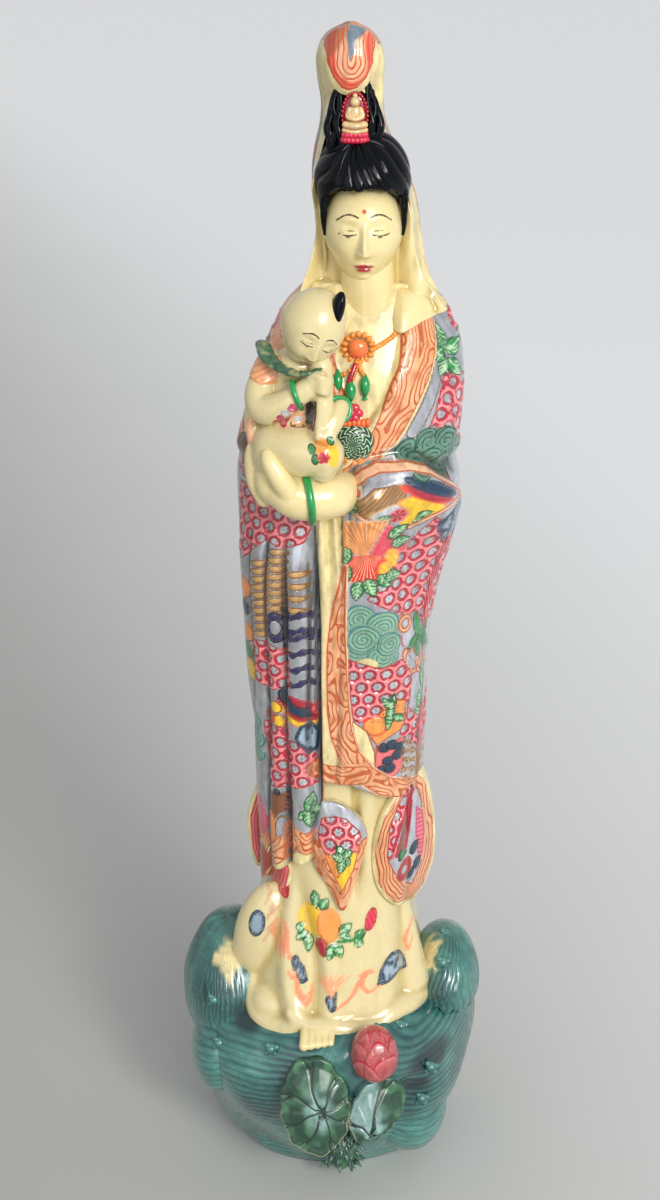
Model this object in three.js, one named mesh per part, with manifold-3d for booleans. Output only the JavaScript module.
// A standing Guanyin with a child on her arm, cast in one with its plinth of waves, in millimetres.
// +Z is up and the figure faces -Y. The origin is the middle of the flat underside of the plinth.
import * as THREE from 'three';
import { mergeVertices } from 'three/addons/utils/BufferGeometryUtils.js';
import Module from 'manifold-3d';

const wasm = await Module();
wasm.setup();

// Driving dimensions
const VEIL_TOP = 592; // overall height
const ROBE_TOP = 478; // top of the robe's body, inside the neck
const PANEL_HEM = 229; // lowest line of the hanging sleeve panel in front
const REAR_HEM = 168; // hem of the robe at the sides and behind
const SKIRT_TOP = 262; // top of the underskirt, inside the robe
const SKIRT_HEM = 88; // lowest line of the underskirt
const IVORY = 0xe9d9a0; // the bare resin
const SECTION_POWER = 2.25; // how square a section of the robe is; 2 is an ellipse
const SKIRT_POWER = 2.1; // the same for the underskirt and the veil

// Sections of the robe: height, centre X, half width, depth in front, depth behind
const ROBE_SECTIONS = [
  [160, 5.5, 40.0, 38, 36],
  [200, 5.0, 39.5, 38, 36],
  [231, 4.6, 40.0, 38, 36],
  [260, 4.0, 41.5, 39, 36],
  [288, 3.6, 43.5, 41, 37],
  [315, 3.2, 45.0, 43, 38],
  [337, 3.7, 46.7, 44, 39],
  [357, 4.9, 49.0, 45, 40],
  [373, 6.1, 51.3, 45, 40],
  [388, 7.6, 52.6, 44, 40],
  [403, 9.1, 51.1, 42, 39],
  [418, 11.0, 49.2, 40, 38],
  [438, 13.5, 46.0, 36, 37],
  [448, 15.0, 43.2, 33, 36],
  [458, 15.8, 40.0, 29, 34],
  [468, 16.2, 35.0, 24, 31],
  [478, 17.0, 26.0, 18, 26],
];

// Sections of the underskirt, in the same order
const SKIRT_SECTIONS = [
  [84, 2.0, 50, 60, 46],
  [96, 2.0, 51, 61, 47],
  [108, 1.0, 49, 58, 45],
  [122, 1.0, 46, 53, 42],
  [142, 3.0, 42, 47, 38],
  [166, 5.0, 38, 41, 35],
  [200, 5.0, 36, 36, 33],
  [262, 5.0, 34, 33, 31],
];

// Sections of the veil: height, centre X, half width, depth behind, and the half width of its opening
const VEIL_SECTIONS = [
  [440, 15.0, 42.5, 36, 33],
  [452, 15.8, 41.5, 35.5, 31],
  [462, 16.3, 38.8, 34, 29],
  [470, 17.5, 34.2, 32.5, 25],
  [478, 18.6, 28.6, 31, 21],
  [487, 18.8, 25.2, 29.5, 19.5],
  [498, 17.6, 24.2, 28.5, 19],
  [510, 16.2, 24.0, 28, 19.5],
  [519, 14.9, 23.4, 27.5, 19.5],
  [528, 13.0, 21.0, 26.5, 18],
  [537, 11.6, 18.2, 25, 14.5],
  [548, 10.6, 14.6, 23.5, 11],
  [558, 10.4, 13.9, 22.5, 10.5],
  [569, 9.6, 14.8, 21.5, 10],
  [580, 9.1, 14.4, 18.5, 9],
  [588, 9.0, 9.6, 12, 6],
  [592, 9.0, 3.2, 4.5, 2],
];

// Sections of the plinth, about this X: height, half width, depth in front, depth behind
const PLINTH_MIDDLE = 1.5;
const PLINTH_SECTIONS = [
  [0, 51, 39, 44],
  [12, 58.5, 46, 50],
  [30, 66, 58, 57],
  [50, 73, 68, 62],
  [70, 76, 75, 64],
  [86, 74, 73, 61],
  [96, 67, 68, 56],
  [102, 57, 58, 48],
  [106, 40, 40, 36],
];

// Vertical folds down the left of the robe: X at the top and the foot, half width, height of the ridge
const FRONT_FOLDS = [
  [-39.0, -36.0, 2.6, 1.8],
  [-32.6, -31.0, 3.0, 2.8],
  [-25.6, -23.6, 2.9, 3.0],
  [-17.0, -12.8, 4.4, 3.2],
  [-9.2, -5.8, 2.2, 1.4],
];
const FOLD_TOP = 366;
const FOLD_FOOT = 150;

// The lining strip beside the folds, and the sleeve panel to the right of it
const STRIP_LEFT = [[236, 0.8], [322, -5.6], [386, -8.4], [410, -9]];
const STRIP_RIGHT = [[236, 4.0], [270, 3.2], [330, 5.0], [386, 7.6], [410, 8]];
const STRIP_HEIGHT = 5.2;
const PANEL_HEIGHT = 3.6;
const PANEL_TOP = 398;
const FRONT_CROWDING = 0.58; // how much closer the robe's columns stand in front than on average

// Inner edge of the collar at the right, from the shoulder to where it passes behind the child
const COLLAR_EDGE = [[398, 7], [411, 12], [429, 24.5], [445, 30], [461, 33], [478, 33]];
const COLLAR_HEIGHT = 3.2;
const COLLAR_MIDDLE = 16; // the two collar edges mirror each other about this X

// The tongue of the apron, under the panel's hem
const TONGUE = { tip: 165, top: 240, middle: 6.6, tipHalf: 2, swell: 10.5, height: 4.6, rooted: 14 };

// The veil's foot, and the opening in it for the face and the topknot
const VEIL_FOOT = 440;
const OPENING_FOOT = 446;
const OPENING_TOP = 566;
const OPENING_DEPTH = 4; // how far behind the axis the opening reaches

// The head is an egg about this heart, with these radii
const HEAD_HEART = [17.2, -13, 502.5];
const HEAD_RADII = [18.4, 21.5, 24.3];

// Rounded forms: place, radii, turn in degrees, and where they need it the columns and rows of their grid
const HEM_LOBES = {
  rightLappet: [[37, -17, 190], [19.5, 26, 34.5], [0, 4, 0], 12, 8],
  leftLappet: [[-29.5, -10, 182], [8.5, 16, 21], [0, -6, 0]],
  train: [[-31, -12, 121], [20.5, 23, 26], [0, 12, 0], 12, 7],
  curledHem: [[-22, -46, 93], [13, 14, 9], [0, 8, 0]],
  rightHem: [[42, -32, 101], [11, 17, 12]],
};
const HAIR = {
  cap: [[16, -8, 525], [21, 24.5, 21.5], [0, -4, 0], 14, 8],
  plaqueBase: [[11, -19, 549], [5.6, 5, 7.5], [0, 0, 0], 8, 6],
  plaqueHalo: [[11, -20, 557], [4, 3.5, 5.5], [0, 0, 0], 8, 6],
};
const ON_HER_FRONT = {
  veilLappet: [[9.4, -12.5, 576.5], [12.4, 10, 15.2], [4, 0, 0], 12, 8],
  pendant: [[12, -34.5, 453.5], [6.4, 4, 6.4], [0, 0, 0], 8, 6],
  sashEnd: [[9, -41, 411], [7.6, 4, 11], [0, 0, 0], 8, 6],
  palm: [[-20, -53, 394], [14, 9, 12], [0, 30, 0], 10, 7],
};
const CHILD = {
  head: [[-7.6, -50, 466.5], [14.2, 15.5, 17.8], [-8, 16, 0], 14, 9],
  tuft: [[4.4, -58.5, 475.5], [4.2, 5, 6], [0, 20, 0], 8, 5],
  shoulders: [[-17, -42, 446], [16, 13, 9], [0, -20, 0], 10, 5],
  body: [[-18, -44, 426], [14, 13.5, 24], [0, 0, 0], 10, 7],
  fist: [[-5, -63, 445], [6, 4.5, 5], [0, -30, 0], 8, 6],
  lowerFist: [[3, -62, 431], [6, 5, 7.4], [0, 0, 0], 8, 6],
  seat: [[-22, -49, 408], [13.5, 14, 17], [0, 0, 0], 10, 7],
  knee: [[2.5, -61, 411], [8.6, 9, 13.2], [0, 0, 0], 10, 7],
};
const WAVES = {
  left: [[-50, -4, 87], [28.5, 40, 42.5], [0, -6, 0], 12, 8],
  right: [[61, -6, 98], [19, 32, 29], [0, 8, 0], 12, 7],
  lowRight: [[42, -29, 34], [21.5, 27, 26]],
  behind: [[-8, 44, 84], [36, 22, 34]],
  lowLeft: [[-57, -26, 68], [17.5, 26, 25]],
};
const LOTUS = {
  leaf: [[-6.5, -72, 69], [18, 8, 27], [-24, 0, 0], 12, 6],
  foldedLeaf: [[23, -68, 63], [15, 8, 25], [-22, 0, 14], 12, 6],
  bud: [[22.5, -74, 96], [11.4, 11.4, 16], [-8, 0, 0], 10, 7],
  moss: [[6, -52, 24], [9, 10, 15], [-30, 0, 0], 8, 6],
  foot: [[-5, -58, 100], [10, 12, 8], [8, 0, 0]],
};
const TOES = { count: 5, first: [-13.5, -69.5, 99], pitch: 3.9, radii: [2.3, 5, 2.8] };
const FOAM_DROPS = [[-59, -33, 108], [-66, -31, 92], [64, -10, 126], [54, -56, 76]];
const FOAM_RADIUS = 3.6;

// Limbs and strands, as points [x, y, z, radius] with the sides and steps of their grid
const LIMBS = {
  neck: [[[18.4, -13, 492, 9.6], [18.4, -13, 478, 9.8], [17.5, -10, 462, 13]], 10, 4],
  topknot: [[[17, 0, 474, 13], [15, -2, 508, 13], [12, -6, 548, 12], [10, -5, 566, 10]], 8, 5],
  rightLock: [[[35, -20, 524, 4.5], [35.5, -23, 512, 3.4], [34, -22, 503, 1.8]], 6, 4],
  leftLock: [[[-1, -20, 524, 4.5], [0, -23, 512, 3.4], [1.6, -22, 503, 1.8]], 6, 4],
  sleeve: [[[47, -6, 440, 10], [50, -14, 412, 14], [40, -27, 396, 17], [24, -38, 391, 16],
    [9, -47, 391, 12]], 9, 5],
  forearm: [[[14, -44, 389, 11], [-2, -55, 388, 10.4], [-16, -56, 389, 9.6], [-24, -52, 396, 8]], 9, 3],
  finger: [[[-34, -44, 414, 4], [-32.5, -50, 404, 4.4], [-26, -55, 391, 5]], 6, 4],
  childArm: [[[-27, -42, 446, 7.4], [-31, -49, 435, 7.2], [-29.5, -56, 429, 6.4], [-20, -61, 434, 5.8],
    [-9, -63, 442, 4.8]], 7, 7],
  childLowerArm: [[[-4, -55, 449, 5], [-1, -61, 438, 4.4], [-1, -63, 428, 4.4], [-3, -63, 419, 4.6]], 6, 5],
  childThigh: [[[-22, -50, 411, 13], [-10, -57, 411, 12.6], [2, -61, 410, 10.5]], 10, 4],
};
const BANGLES = {
  hers: [[-11.5, -56, 388], 10.2, 1.7, [0, 84, 10]],
  childs: [[-14.5, -62, 438.5], 5.4, 1.2, [0, 70, 0]],
};

const clamp = THREE.MathUtils.clamp;
const bump = (x, centre, width) => Math.exp(-(((x - centre) / width) ** 2));

// A soft step from 0 where x is start to 1 where it is end, which may be the lower of the two
function smoothstep(start, end, x) {
  const t = clamp((x - start) / (end - start), 0, 1);
  return t * t * (3 - 2 * t);
}

// A smooth curve through rows of [where, value, value, ...], which gives the values anywhere
function through(rows) {
  const slope = (i, k) => {
    const before = rows[Math.max(i - 1, 0)];
    const after = rows[Math.min(i + 1, rows.length - 1)];
    return (after[k] - before[k]) / (after[0] - before[0]);
  };
  return (where) => {
    const w = clamp(where, rows[0][0], rows[rows.length - 1][0]);
    let i = 0;
    while (i < rows.length - 2 && w > rows[i + 1][0]) i += 1;
    const [a, b] = [rows[i], rows[i + 1]];
    const span = b[0] - a[0];
    const t = (w - a[0]) / span;
    return a.slice(1).map((value, n) => {
      const k = n + 1;
      const rise = t * t * (3 - 2 * t);
      const bend = t * (1 - t);
      return value + (b[k] - value) * rise + span * bend * ((1 - t) * slope(i, k) - t * slope(i + 1, k));
    });
  };
}

// Radius of a section that is square to the given power, at an angle from the front
function sectionRadius(angle, halfWidth, front, behind, power = SECTION_POWER) {
  const across = Math.abs(Math.sin(angle)) / halfWidth;
  const along = Math.abs(Math.cos(angle)) / (Math.cos(angle) > 0 ? front : behind);
  return (across ** power + along ** power) ** (-1 / power);
}

// A three.js geometry whose vertices are moved, as a manifold-3d solid
function solidFrom(geometry) {
  geometry.deleteAttribute('normal');
  geometry.deleteAttribute('uv');
  const merged = mergeVertices(geometry, 1e-4);
  return new wasm.Manifold(new wasm.Mesh({
    numProp: 3,
    vertProperties: new Float32Array(merged.attributes.position.array),
    triVerts: new Uint32Array(merged.index.array),
  }));
}

// Moves each vertex of a geometry to where place(x, y, z) puts it
function moulded(geometry, place) {
  const position = geometry.attributes.position;
  for (let i = 0; i < position.count; i += 1) {
    position.setXYZ(i, ...place(position.getX(i), position.getY(i), position.getZ(i)));
  }
  return solidFrom(geometry);
}

// An upright body: surface(angle, share) gives [centre X, centre Y, radius, height], share 0 at the foot.
// Its columns crowd towards the front by a share, where the folds are.
function upright(columns, rows, surface, crowding = 0) {
  const tube = new THREE.CylinderGeometry(1, 1, 1, columns, rows).rotateX(Math.PI / 2);
  return moulded(tube, (x, y, z) => {
    const turn = Math.atan2(x, -y);
    const angle = turn - crowding * Math.sin(turn);
    const [centreX, centreY, radius, height] = surface(angle, z + 0.5);
    const reach = Math.hypot(x, y) * radius;
    return [centreX + Math.sin(angle) * reach, centreY - Math.cos(angle) * reach, height];
  });
}

// A body that swells from its heart: reach(direction) gives the distance to its skin
function swelling(columns, rows, heart, reach) {
  const ball = new THREE.SphereGeometry(1, columns, rows).rotateX(Math.PI / 2);
  return moulded(ball, (x, y, z) => {
    const far = reach([x, y, z]);
    return [heart[0] + x * far, heart[1] + y * far, heart[2] + z * far];
  });
}

// An ellipsoid at a place, turned by degrees about X, Y and Z
function pebble(place, radii, turn = [0, 0, 0], columns = 10, rows = 6) {
  const ball = new THREE.SphereGeometry(1, columns, rows).rotateX(Math.PI / 2).scale(...radii);
  const euler = new THREE.Euler(...turn.map(THREE.MathUtils.degToRad), 'XYZ');
  ball.applyMatrix4(new THREE.Matrix4().makeRotationFromEuler(euler)).translate(...place);
  return solidFrom(ball);
}

// A limb along points [x, y, z, radius], with round ends
function limb(points, sides = 8, steps = 6) {
  const line = new THREE.CatmullRomCurve3(points.map((p) => new THREE.Vector3(...p.slice(0, 3))));
  const thickness = through(points.map((p, i) => [i / (points.length - 1), p[3]]));
  const capRows = 2;
  const rows = steps + 2 * capRows;
  const frames = line.computeFrenetFrames(rows, false);
  const tube = new THREE.CylinderGeometry(1, 1, 1, sides, rows).rotateX(Math.PI / 2);
  return moulded(tube, (x, y, z) => {
    const row = Math.round((z + 0.5) * rows);
    const along = clamp((row - capRows) / steps, 0, 1);
    const beyond = row < capRows ? row - capRows : Math.max(row - rows + capRows, 0);
    const turn = (beyond / capRows) * (Math.PI / 2) * 0.96;
    const radius = thickness(along)[0];
    const frame = Math.round(along * rows);
    const spot = line.getPointAt(along)
      .addScaledVector(frames.normals[frame], x * radius * Math.cos(turn))
      .addScaledVector(frames.binormals[frame], y * radius * Math.cos(turn))
      .addScaledVector(frames.tangents[frame], radius * Math.sin(turn));
    return spot.toArray();
  });
}

// A ring of round section, its axis turned by degrees about X, Y and Z
function ring(place, radius, thickness, turn) {
  const torus = new THREE.TorusGeometry(radius, thickness, 4, 12);
  const euler = new THREE.Euler(...turn.map(THREE.MathUtils.degToRad), 'XYZ');
  torus.applyMatrix4(new THREE.Matrix4().makeRotationFromEuler(euler)).translate(...place);
  return solidFrom(torus);
}

const robeAt = through(ROBE_SECTIONS);
const skirtAt = through(SKIRT_SECTIONS);
const veilAt = through(VEIL_SECTIONS);
const plinthAt = through(PLINTH_SECTIONS);
const collarEdge = through(COLLAR_EDGE);
const stripLeft = through(STRIP_LEFT);
const stripRight = through(STRIP_RIGHT);

// How far the folds, the strip and the sleeve panel stand out of the robe
function robeRelief(angle, x, z) {
  const front = smoothstep(-0.15, 0.25, Math.cos(angle));
  const down = clamp((FOLD_TOP - z) / (FOLD_TOP - FOLD_FOOT), 0, 1);
  const folding = smoothstep(FOLD_TOP + 6, FOLD_TOP - 26, z);
  let out = 0;
  for (const [top, foot, width, height] of FRONT_FOLDS) {
    out += folding * height * bump(x, top + (foot - top) * down, width);
  }
  const left = stripLeft(z)[0];
  const right = stripRight(z)[0];
  const hanging = smoothstep(PANEL_TOP, PANEL_TOP - 14, z);
  out -= 2.6 * folding * bump(x, left - 2.2, 2.4);
  const onStrip = smoothstep(left - 0.8, left + 0.8, x) * smoothstep(right + 4, right - 1, x);
  const onPanel = smoothstep(right - 2, right + 2, x);
  out += hanging * Math.max(onStrip * STRIP_HEIGHT, onPanel * PANEL_HEIGHT);
  const sleeveSag = 2.2 * Math.sin((x - 14) / 6.5 + (z - 300) / 34) * smoothstep(12, 26, x);
  out += hanging * sleeveSag * smoothstep(240, 290, z);
  const collar = collarEdge(z)[0] - COLLAR_MIDDLE;
  const beside = smoothstep(collar - 1.5, collar + 1.5, Math.abs(x - COLLAR_MIDDLE));
  out += COLLAR_HEIGHT * beside * smoothstep(PANEL_TOP - 4, PANEL_TOP + 4, z);
  const rear = 1.9 * Math.cos(angle * 9 + z / 60) * smoothstep(430, 300, z);
  return out * front + rear * (1 - front);
}

// The robe's hem in front: low and scalloped at the left, high under the panel, low again at the right side
function hemAt(x) {
  const scallop = 3 * Math.cos((x + 26) / 3.4) - 0.15 * (x + 20);
  const panelHem = PANEL_HEM + 10 * smoothstep(30, 4, x);
  const step = smoothstep(-6, -1, x) * smoothstep(39, 34, x);
  return REAR_HEM + 6 + scallop * smoothstep(-1, -6, x) + (panelHem - REAR_HEM - 6) * step;
}

// The robe from the shoulders to its hem
function robe() {
  return upright(42, 15, (angle, share) => {
    const ahead = smoothstep(0.05, 0.3, Math.cos(angle));
    const hem = REAR_HEM + (hemAt(robeAt(REAR_HEM)[0] + 40 * Math.sin(angle)) - REAR_HEM) * ahead;
    const z = hem + (ROBE_TOP - hem) * share;
    const [centre, half, front, behind] = robeAt(z);
    const radius = sectionRadius(angle, half, front, behind);
    const x = centre + radius * Math.sin(angle);
    return [centre, 0, radius + robeRelief(angle, x, z), z];
  }, FRONT_CROWDING);
}

// Depth of the front skin of a body at X and a height
function frontSkin(sections, x, z, power = SECTION_POWER) {
  const [centre, half, front] = sections(z);
  const across = Math.min(Math.abs(x - centre) / half, 0.995);
  return -front * (1 - across ** power) ** (1 / power);
}

// A thick sheet: place(across, up, outside) puts each point, with across from -1 to 1 and up from 0 to 1
function sheet(columns, rows, place) {
  const board = new THREE.BoxGeometry(1, 1, 1, columns, rows, 1);
  return moulded(board, (x, y, z) => place(2 * x, y + 0.5, z > 0));
}

// The tongue of the apron between the two hems
function apronTongue() {
  return sheet(6, 5, (across, up, outside) => {
    const halfWidth = TONGUE.tipHalf + TONGUE.swell * Math.sin((Math.min(up * 1.5, 1) * Math.PI) / 2);
    const x = TONGUE.middle + across * halfWidth + 0.6 * up;
    const z = TONGUE.tip + (TONGUE.top - TONGUE.tip) * up;
    const skin = Math.min(frontSkin(skirtAt, x, z, SKIRT_POWER), frontSkin(robeAt, x, z) + 3);
    const rounded = 1.8 * Math.abs(across) ** 4 + 1.5 * (1 - up) ** 6;
    return [x, outside ? skin - TONGUE.height + rounded : skin + TONGUE.rooted, z];
  });
}

// The underskirt, which flares to a pleated hem with a cleft down its middle
function skirt() {
  return upright(32, 7, (angle, share) => {
    const hemWave = 5 * Math.cos(angle * 5 + 0.5);
    const hem = SKIRT_HEM + (7 + hemWave) * smoothstep(0.2, 0.8, Math.cos(angle));
    const z = hem + (SKIRT_TOP - hem) * share;
    const [centre, half, front, behind] = skirtAt(z);
    const low = smoothstep(175, 95, z);
    const pleat = 3.2 * low * Math.cos(angle * 7 + 0.9) + 1.4 * Math.cos(angle * 3 - 0.4) * low;
    const cleft = -4.5 * bump(angle, 0.24, 0.09) * smoothstep(150, 190, z);
    return [centre, 0, sectionRadius(angle, half, front, behind, SKIRT_POWER) + pleat + cleft, z];
  });
}

// Depth of the veil's rim in front of the axis
function rimDepth(z) {
  return 9 + 8 * smoothstep(470, 492, z) + 4 * smoothstep(560, 580, z) - 9 * smoothstep(582, VEIL_TOP, z);
}

// The veil, with a deep opening in front of the head and the topknot
function veil() {
  const cloth = upright(24, 13, (angle, share) => {
    const z = VEIL_FOOT + (VEIL_TOP - VEIL_FOOT) * share;
    const [centre, half, behind] = veilAt(z);
    const crease = 0.9 * Math.cos(angle * 10 + z / 25) * smoothstep(0, -0.4, Math.cos(angle));
    return [centre, 0, sectionRadius(angle, half, rimDepth(z), behind, SKIRT_POWER) + crease, z];
  });
  const opening = upright(12, 8, (angle, share) => {
    const z = OPENING_FOOT + (OPENING_TOP - OPENING_FOOT) * share;
    const [centre, , , half] = veilAt(z);
    const arch = Math.sqrt(smoothstep(OPENING_TOP + 1, OPENING_TOP - 12, z) + 0.002);
    const radius = sectionRadius(angle, half * arch, 30, rimDepth(z) + OPENING_DEPTH, SKIRT_POWER);
    return [centre, -rimDepth(z), radius, z];
  });
  return cloth.subtract(opening);
}

// The head: an egg with a brow, a nose, lips and a chin in calm, even proportions
function head() {
  return swelling(14, 11, HEAD_HEART, ([x, y, z]) => {
    const [wide, deep, tall] = HEAD_RADII;
    const narrow = 1 - 0.2 * smoothstep(0.1, -1, z);
    const egg = 1 / Math.hypot(x / (wide * narrow), y / deep, z / tall);
    const ahead = smoothstep(0.5, 0.9, -y);
    const nose = 2.4 * bump(x, 0, 0.12) * smoothstep(0.3, -0.12, z) * smoothstep(-0.24, -0.12, z);
    const sockets = -1.1 * bump(Math.abs(x), 0.3, 0.16) * bump(z, 0.12, 0.12);
    const lips = 0.8 * bump(x, 0, 0.2) * bump(z, -0.36, 0.07);
    const chin = 1.1 * bump(x, 0, 0.25) * bump(z, -0.66, 0.14);
    return egg + ahead * (nose + sockets + lips + chin);
  });
}

// The water of the plinth, with a high wave at either side and lower ones round it, cut flat below
function plinth() {
  const water = upright(28, 7, (angle, share) => {
    const z = PLINTH_SECTIONS[PLINTH_SECTIONS.length - 1][0] * share;
    const [half, front, behind] = plinthAt(z);
    const swell = 1.8 * Math.cos(angle * 5 + z / 18) + 1.6 * Math.cos(angle * 3 - z / 14);
    const radius = sectionRadius(angle, half, front, behind, SKIRT_POWER);
    return [PLINTH_MIDDLE, 0, radius + swell * smoothstep(0, 14, z), z];
  });
  const table = new THREE.BoxGeometry(400, 400, 100).translate(0, 0, -50);
  return union([water, ...pebbles(WAVES)]).subtract(solidFrom(table));
}

// The five toes, side by side, the middle ones longest
function toes() {
  const [x, y, z] = TOES.first;
  const middle = (TOES.count - 1) / 2;
  return Array.from({ length: TOES.count }, (_, i) => {
    const place = [x + TOES.pitch * i, y + 0.9 * Math.abs(i - middle), z - 0.5 * i];
    return pebble(place, TOES.radii, [12, 0, 0], 6, 4);
  });
}

// Drops of foam on the waves
function foam() {
  return FOAM_DROPS.map((place) => pebble(place, [FOAM_RADIUS, FOAM_RADIUS, FOAM_RADIUS], [0, 0, 0], 6, 4));
}

// Each rounded form of a table as a solid
function pebbles(forms) {
  return Object.values(forms).map((form) => pebble(...form));
}

// One solid from many that overlap
function union(solids) {
  return solids.reduce((whole, solid) => whole.add(solid));
}

const figure = union([
  robe(),
  apronTongue(),
  skirt(),
  veil(),
  head(),
  ...Object.values(LIMBS).map((form) => limb(...form)),
  ...Object.values(BANGLES).map((form) => ring(...form)),
  ...pebbles({ ...HEM_LOBES, ...HAIR, ...ON_HER_FRONT }),
  ...pebbles(CHILD),
  plinth(),
  ...pebbles(LOTUS),
  ...toes(),
  ...foam(),
]);

const material = new THREE.MeshStandardMaterial({ color: IVORY, roughness: 0.3, metalness: 0 });

// A solid as a named three.js mesh
function meshOf(name, solid) {
  const { vertProperties, triVerts } = solid.getMesh();
  const geometry = new THREE.BufferGeometry();
  geometry.setAttribute('position', new THREE.BufferAttribute(vertProperties, 3));
  geometry.setIndex(new THREE.BufferAttribute(triVerts, 1));
  const mesh = new THREE.Mesh(geometry, material);
  mesh.name = name;
  return mesh;
}

const group = new THREE.Group();
group.add(meshOf('guanyin_figure', figure));

export default group;
